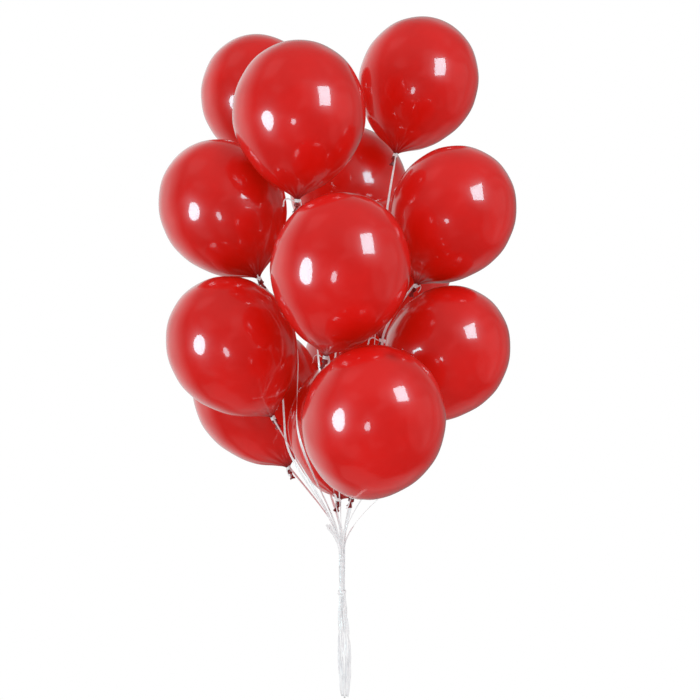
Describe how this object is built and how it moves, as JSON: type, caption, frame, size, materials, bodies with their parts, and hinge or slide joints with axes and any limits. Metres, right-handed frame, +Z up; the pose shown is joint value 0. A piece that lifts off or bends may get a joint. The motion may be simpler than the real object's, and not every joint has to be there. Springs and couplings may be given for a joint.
{
  "type": "bunch of latex balloons",
  "caption": "Helium bunch of round red latex balloons, each tied to its own curling ribbon, gathered at one hand-hold and knotted below it.",
  "frame": {"origin": "the point on the gathered ribbons that a hand closes round", "axes": "+Z up towards the balloons, -Y towards the front of the bunch"},
  "size_m": [0.754, 0.9632, 1.4624],
  "materials": {
    "red_latex": "glossy stretched latex, faintly translucent",
    "ribbon": "white curling ribbon with a silvery sheen"
  },
  "bodies": {
    "ribbons": {"gather_knot": "ribbon", "folded_ends": "ribbon", "ribbon_top_left": "ribbon", "ribbon_top_middle": "ribbon", "ribbon_top_right": "ribbon", "ribbon_upper_left": "ribbon", "ribbon_upper_right": "ribbon", "ribbon_middle_front": "ribbon", "ribbon_lower_left": "ribbon", "ribbon_lower_right": "ribbon", "ribbon_bottom_front": "ribbon", "ribbon_bottom_left": "ribbon", "ribbon_upper_back": "ribbon", "ribbon_bottom_back": "ribbon", "ribbon_lower_back": "ribbon", "ribbon_middle_back": "ribbon"},
    "balloon_top_left": {"envelope_top_left": "red_latex", "neck_knot_top_left": "red_latex", "hitch_top_left": "ribbon"},
    "balloon_top_middle": {"envelope_top_middle": "red_latex", "neck_knot_top_middle": "red_latex", "hitch_top_middle": "ribbon"},
    "balloon_top_right": {"envelope_top_right": "red_latex", "neck_knot_top_right": "red_latex", "hitch_top_right": "ribbon"},
    "balloon_upper_left": {"envelope_upper_left": "red_latex", "neck_knot_upper_left": "red_latex", "hitch_upper_left": "ribbon"},
    "balloon_upper_right": {"envelope_upper_right": "red_latex", "neck_knot_upper_right": "red_latex", "hitch_upper_right": "ribbon"},
    "balloon_middle_front": {"envelope_middle_front": "red_latex", "neck_knot_middle_front": "red_latex", "hitch_middle_front": "ribbon"},
    "balloon_lower_left": {"envelope_lower_left": "red_latex", "neck_knot_lower_left": "red_latex", "hitch_lower_left": "ribbon"},
    "balloon_lower_right": {"envelope_lower_right": "red_latex", "neck_knot_lower_right": "red_latex", "hitch_lower_right": "ribbon"},
    "balloon_bottom_front": {"envelope_bottom_front": "red_latex", "neck_knot_bottom_front": "red_latex", "hitch_bottom_front": "ribbon"},
    "balloon_bottom_left": {"envelope_bottom_left": "red_latex", "neck_knot_bottom_left": "red_latex", "hitch_bottom_left": "ribbon"},
    "balloon_upper_back": {"envelope_upper_back": "red_latex", "neck_knot_upper_back": "red_latex", "hitch_upper_back": "ribbon"},
    "balloon_bottom_back": {"envelope_bottom_back": "red_latex", "neck_knot_bottom_back": "red_latex", "hitch_bottom_back": "ribbon"},
    "balloon_lower_back": {"envelope_lower_back": "red_latex", "neck_knot_lower_back": "red_latex", "hitch_lower_back": "ribbon"},
    "balloon_middle_back": {"envelope_middle_back": "red_latex", "neck_knot_middle_back": "red_latex", "hitch_middle_back": "ribbon"}
  },
  "joints": [
    {"name": "nod_top_left", "type": "hinge", "parent": "ribbons", "child": "balloon_top_left", "pos_m": [-0.1639, 0.38083, 0.7993], "axis": [-0.8192, -0.5736, 0], "range_deg": [0, 25], "stiffness_Nm_per_rad": 0.03, "springref_deg": -28.65},
    {"name": "nod_top_middle", "type": "hinge", "parent": "ribbons", "child": "balloon_top_middle", "pos_m": [-0.09209, -0.024, 0.6938], "axis": [0.9063, -0.4226, 0], "range_deg": [0, 25], "stiffness_Nm_per_rad": 0.03, "springref_deg": -28.65},
    {"name": "nod_top_right", "type": "hinge", "parent": "ribbons", "child": "balloon_top_right", "pos_m": [0.1175, 0.26873, 0.8215], "axis": [-0.766, 0.6428, 0], "range_deg": [0, 25], "stiffness_Nm_per_rad": 0.03, "springref_deg": -28.65},
    {"name": "nod_upper_left", "type": "hinge", "parent": "ribbons", "child": "balloon_upper_left", "pos_m": [-0.17653, 0.09313, 0.53803], "axis": [-0.0872, -0.9962, 0], "range_deg": [0, 12], "stiffness_Nm_per_rad": 0.03, "springref_deg": -28.65},
    {"name": "nod_upper_right", "type": "hinge", "parent": "ribbons", "child": "balloon_upper_right", "pos_m": [0.153, 0.02084, 0.52088], "axis": [0.4226, 0.9063, 0], "range_deg": [0, 6], "stiffness_Nm_per_rad": 0.03, "springref_deg": -28.65},
    {"name": "nod_middle_front", "type": "hinge", "parent": "ribbons", "child": "balloon_middle_front", "pos_m": [-0.03222, -0.13626, 0.37306], "axis": [0.9397, -0.342, 0], "range_deg": [0, 12], "stiffness_Nm_per_rad": 0.03, "springref_deg": -28.65},
    {"name": "nod_lower_left", "type": "hinge", "parent": "ribbons", "child": "balloon_lower_left", "pos_m": [-0.14526, 0.05056, 0.24513], "axis": [0.2588, -0.9659, 0], "range_deg": [0, 20], "stiffness_Nm_per_rad": 0.03, "springref_deg": -28.65},
    {"name": "nod_lower_right", "type": "hinge", "parent": "ribbons", "child": "balloon_lower_right", "pos_m": [0.13725, -0.028, 0.23589], "axis": [0.5, 0.866, 0], "range_deg": [0, 8], "stiffness_Nm_per_rad": 0.03, "springref_deg": -28.65},
    {"name": "nod_bottom_front", "type": "hinge", "parent": "ribbons", "child": "balloon_bottom_front", "pos_m": [0.02104, -0.14263, 0.09713], "axis": [0.9848, 0.1736, 0], "range_deg": [0, 25], "stiffness_Nm_per_rad": 0.03, "springref_deg": -28.65},
    {"name": "nod_bottom_left", "type": "hinge", "parent": "ribbons", "child": "balloon_bottom_left", "pos_m": [-0.11867, 0.23908, 0.12595], "axis": [-0.7071, -0.7071, 0], "range_deg": [0, 25], "stiffness_Nm_per_rad": 0.03, "springref_deg": -28.65},
    {"name": "nod_upper_back", "type": "hinge", "parent": "ribbons", "child": "balloon_upper_back", "pos_m": [0.00789, 0.39278, 0.58502], "axis": [-1, 0, 0], "range_deg": [0, 10], "stiffness_Nm_per_rad": 0.03, "springref_deg": -28.65},
    {"name": "nod_bottom_back", "type": "hinge", "parent": "ribbons", "child": "balloon_bottom_back", "pos_m": [-0.00673, 0.00713, 0.0744], "axis": [-0.9962, 0.0872, 0], "range_deg": [0, 3], "stiffness_Nm_per_rad": 0.03, "springref_deg": -28.65},
    {"name": "nod_lower_back", "type": "hinge", "parent": "ribbons", "child": "balloon_lower_back", "pos_m": [0.046, 0.38001, 0.18172], "axis": [-0.9962, 0.0872, 0], "range_deg": [0, 20], "stiffness_Nm_per_rad": 0.03, "springref_deg": -28.65},
    {"name": "nod_middle_back", "type": "hinge", "parent": "ribbons", "child": "balloon_middle_back", "pos_m": [0.08585, 0.20761, 0.40814], "axis": [-0.4226, 0.9063, 0], "range_deg": [0, 25], "stiffness_Nm_per_rad": 0.03, "springref_deg": -28.65}
  ]
}
